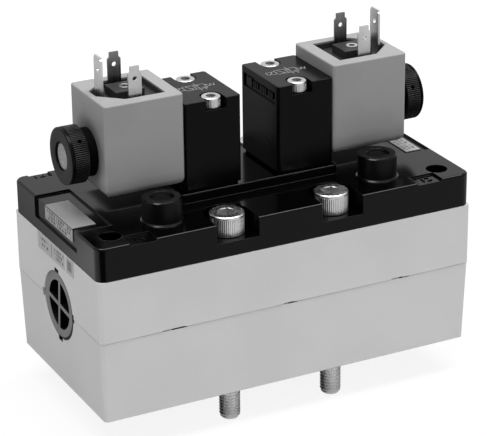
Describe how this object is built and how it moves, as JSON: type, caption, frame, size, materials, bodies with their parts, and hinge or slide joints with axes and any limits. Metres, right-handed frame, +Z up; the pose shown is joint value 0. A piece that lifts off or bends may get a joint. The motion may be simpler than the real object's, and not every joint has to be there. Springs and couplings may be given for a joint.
{
  "type": "directional control valve",
  "caption": "Base-mounted air control valve with a solenoid pilot at each end, ribbed end plugs, push overrides, tab connectors and socket screws.",
  "frame": {"origin": "middle of the flat underside that meets the base plate", "axes": "+X along the spool to the right end, -Y towards the front with the overrides, +Z up"},
  "size_m": [0.1534, 0.0784, 0.1391],
  "materials": {
    "die_cast": "fine satin casting",
    "cover_black": "smooth moulded",
    "pilot_black": "smooth moulded",
    "coil_grey": "smooth moulded",
    "connector_dark": "smooth moulded",
    "plug_grey": "smooth moulded",
    "nut_black": "knurled",
    "button_black": "smooth moulded",
    "screw_steel": "zinc plated",
    "tin_plate": "tin plated",
    "machined_steel": "turned",
    "spool_alloy": "hard anodised",
    "brass_insert": "plated",
    "seal_rubber": "plain",
    "sinter": "porous",
    "plate_silver": "satin foil",
    "label_grey": "film"
  },
  "bodies": {
    "valve": {"main_body": "die_cast", "top_cover": "cover_black", "cover_gasket": "seal_rubber", "base_gasket": "seal_rubber", "mounting_screws": "screw_steel", "plug_seals": "seal_rubber", "spool_sleeve": "spool_alloy", "sleeve_seals": "seal_rubber", "end_label": "label_grey", "pilot_gaskets": "seal_rubber", "pilot_screws": "screw_steel", "end_plug_left": "plug_grey", "end_plug_right": "plug_grey", "nameplate_left": "plate_silver", "nameplate_right": "plate_silver", "override_spring_left": "machined_steel", "override_spring_right": "machined_steel", "pilot_body_left": "pilot_black", "pilot_body_right": "pilot_black", "armature_tube_left": "machined_steel", "armature_tube_right": "machined_steel", "fixed_core_left": "machined_steel", "fixed_core_right": "machined_steel", "armature_spring_left": "machined_steel", "armature_spring_right": "machined_steel", "coil_left": "coil_grey", "coil_right": "coil_grey", "connector_base_left": "connector_dark", "connector_base_right": "connector_dark", "connector_insert_left": "brass_insert", "connector_insert_right": "brass_insert", "terminals_left": "tin_plate", "terminals_right": "tin_plate", "nut_seal_left": "seal_rubber", "nut_seal_right": "seal_rubber", "ring_nut_left": "nut_black", "ring_nut_right": "nut_black", "filter_left": "sinter", "filter_right": "sinter"},
    "spool": {"main_spool": "spool_alloy", "piston_left": "plug_grey", "piston_right": "plug_grey", "piston_seals": "seal_rubber"},
    "armature_left": {"armature_left": "machined_steel"},
    "armature_right": {"armature_right": "machined_steel"},
    "override_left": {"override_left": "button_black"},
    "override_right": {"override_right": "button_black"}
  },
  "joints": [
    {"name": "spool_shift", "type": "slide", "parent": "valve", "child": "spool", "axis": [1, 0, 0], "range_m": [0, 0.009]},
    {"name": "armature_pull_left", "type": "slide", "parent": "valve", "child": "armature_left", "axis": [-1, 0, 0], "range_m": [0, 0.0009], "stiffness_N_per_m": 300, "springref_m": -0.004, "deforming": ["armature_spring_left"]},
    {"name": "armature_pull_right", "type": "slide", "parent": "valve", "child": "armature_right", "axis": [1, 0, 0], "range_m": [0, 0.0009], "stiffness_N_per_m": 300, "springref_m": -0.004, "deforming": ["armature_spring_right"]},
    {"name": "override_press_left", "type": "slide", "parent": "valve", "child": "override_left", "axis": [0, 0, -1], "range_m": [0, 0.002], "stiffness_N_per_m": 400, "springref_m": -0.004, "deforming": ["override_spring_left"]},
    {"name": "override_press_right", "type": "slide", "parent": "valve", "child": "override_right", "axis": [0, 0, -1], "range_m": [0, 0.002], "stiffness_N_per_m": 400, "springref_m": -0.004, "deforming": ["override_spring_right"]}
  ]
}
